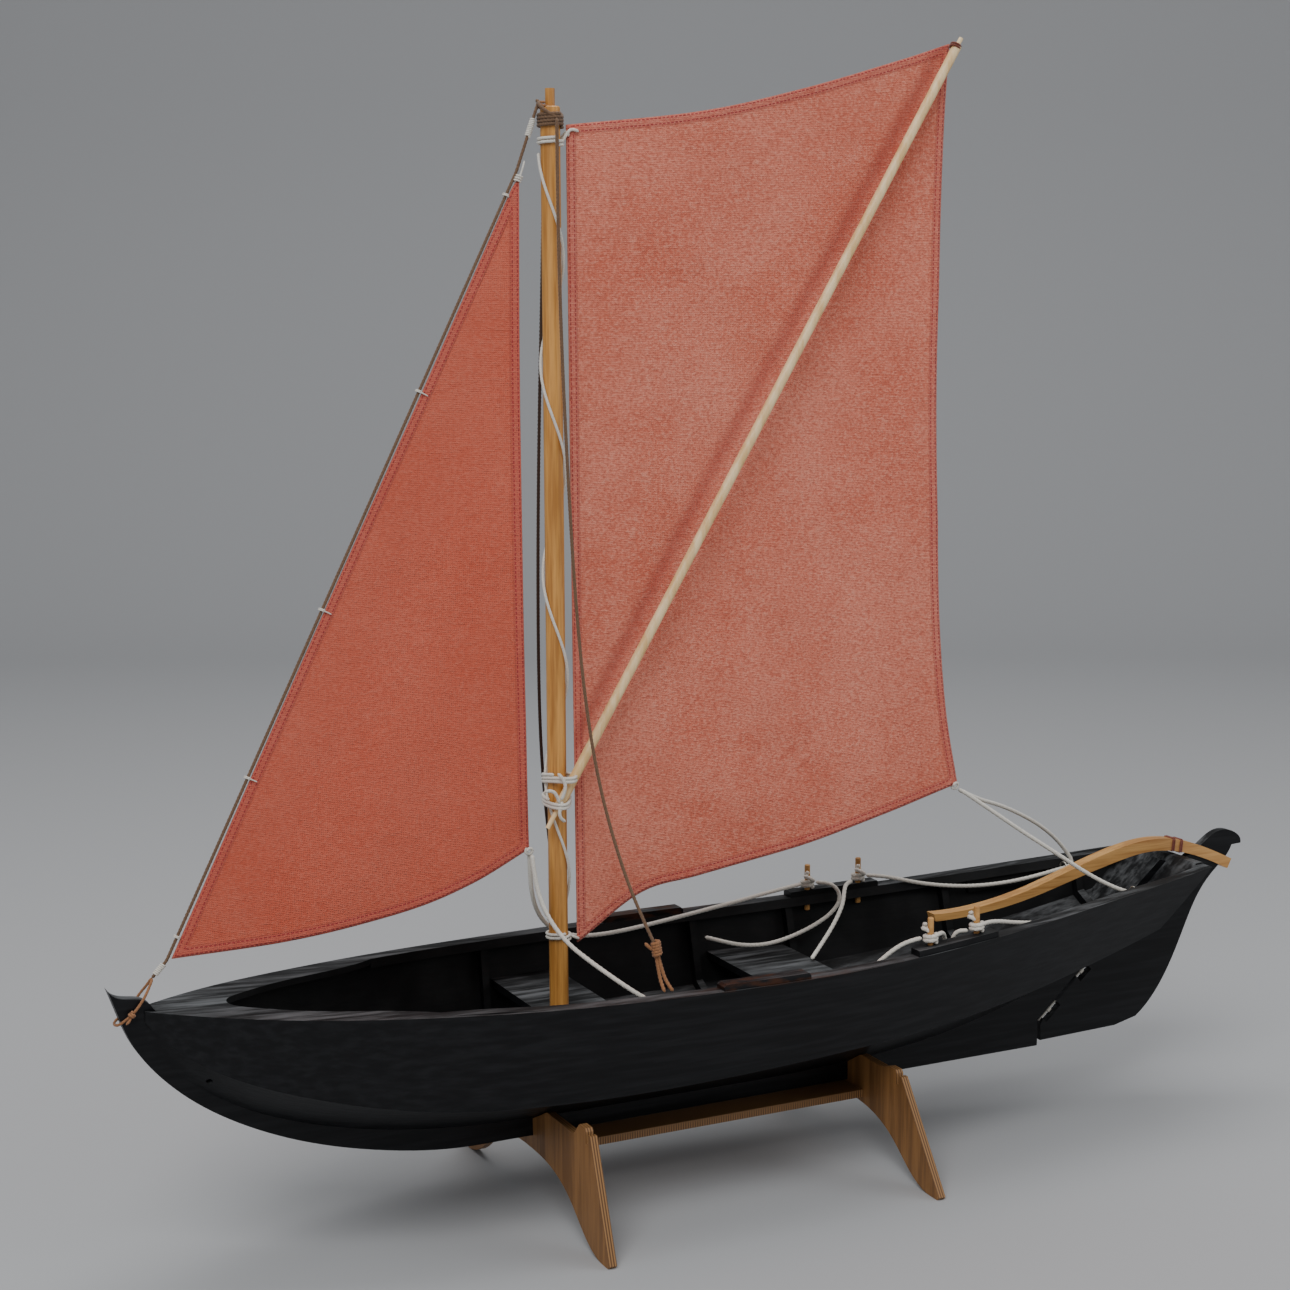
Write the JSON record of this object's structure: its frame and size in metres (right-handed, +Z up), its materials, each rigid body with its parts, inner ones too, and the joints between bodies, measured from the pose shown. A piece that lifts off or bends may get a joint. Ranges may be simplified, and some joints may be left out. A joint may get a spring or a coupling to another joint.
{
  "type": "model sailboat on stand",
  "caption": "Wooden display model of a small open sprit-rigged boat with a black planked hull, coral cloth mainsail and jib, rudder with tiller, white sheets and a plywood cradle stand.",
  "frame": {"origin": "on the table under the hull, on the centre plane, midway between the bow tip and the rudder head", "axes": "+Z up, +X towards the stern, -X towards the bow, -Y port, +Y starboard"},
  "size_m": [0.8354, 0.234, 0.7389],
  "materials": {
    "black_wood": "satin black paint on wood",
    "honey_wood": "clear varnish",
    "pale_wood": "bare, smooth",
    "plywood": "bare plywood",
    "brass_wire": "dull",
    "sailcloth": "coarse matte cotton",
    "brown_twine": "waxed twisted twine",
    "white_cord": "matte cotton",
    "red_thread": "matte"
  },
  "bodies": {
    "stand": {"cradle_front": "plywood", "cradle_rear": "plywood", "stretcher": "plywood"},
    "hull": {"keel": "black_wood", "stem": "black_wood", "skeg": "black_wood", "side_plank_port": "black_wood", "side_plank_starboard": "black_wood", "bottom_plank_port": "black_wood", "bottom_plank_starboard": "black_wood", "transom": "black_wood", "stern_knee": "black_wood", "foredeck": "black_wood", "inwale_port": "black_wood", "inwale_starboard": "black_wood", "frame_1": "black_wood", "frame_2": "black_wood", "frame_3": "black_wood", "frame_4": "black_wood", "frame_5": "black_wood", "mast_thwart": "black_wood", "middle_thwart": "black_wood", "mast_step": "black_wood", "quarter_blocks": "black_wood", "rail_pads": "black_wood", "belaying_pins": "honey_wood", "sheet_eyes": "brass_wire", "gudgeons": "brass_wire", "mast": "honey_wood", "forestay": "brown_twine", "stay_whippings": "white_cord", "stem_lashing": "brown_twine", "masthead_lashing": "brown_twine", "shroud_port": "brown_twine", "shroud_starboard": "brown_twine", "shroud_lanyards": "brown_twine", "main_sheet_port": "white_cord", "main_sheet_starboard": "white_cord", "jib_sheet_port": "white_cord", "jib_sheet_starboard": "white_cord", "jib_tail_port": "white_cord", "jib_tail_starboard": "white_cord", "main_tail_port": "white_cord", "main_tail_starboard": "white_cord", "sheet_turns": "white_cord"},
    "rudder": {"rudder_blade": "black_wood", "pintles": "brass_wire", "tiller": "honey_wood", "tiller_bands": "red_thread"},
    "mainsail": {"mainsail": "sailcloth", "sprit": "pale_wood", "snotter": "white_cord", "luff_lacing": "white_cord", "throat_lashing": "white_cord", "tack_lashing": "white_cord"},
    "jib": {"jib": "sailcloth", "jib_robands": "brown_twine"}
  },
  "joints": [
    {"name": "hull_lift", "type": "slide", "parent": "stand", "child": "hull", "axis": [0, 0, 1], "range_m": [0, 0.08]},
    {"name": "rudder_turn", "type": "hinge", "parent": "hull", "child": "rudder", "pos_m": [0.24065, 0, 0.0627], "axis": [0.7501, 0, 0.6613], "range_deg": [-20, 20]},
    {"name": "mainsail_swing", "type": "hinge", "parent": "hull", "child": "mainsail", "pos_m": [-0.132, 0, 0.2], "axis": [0, 0, 1], "range_deg": [-8, 8]},
    {"name": "jib_swing", "type": "hinge", "parent": "hull", "child": "jib", "pos_m": [-0.3822, 0, 0.19], "axis": [0.4464, 0, 0.8948], "range_deg": [-8, 8]}
  ]
}
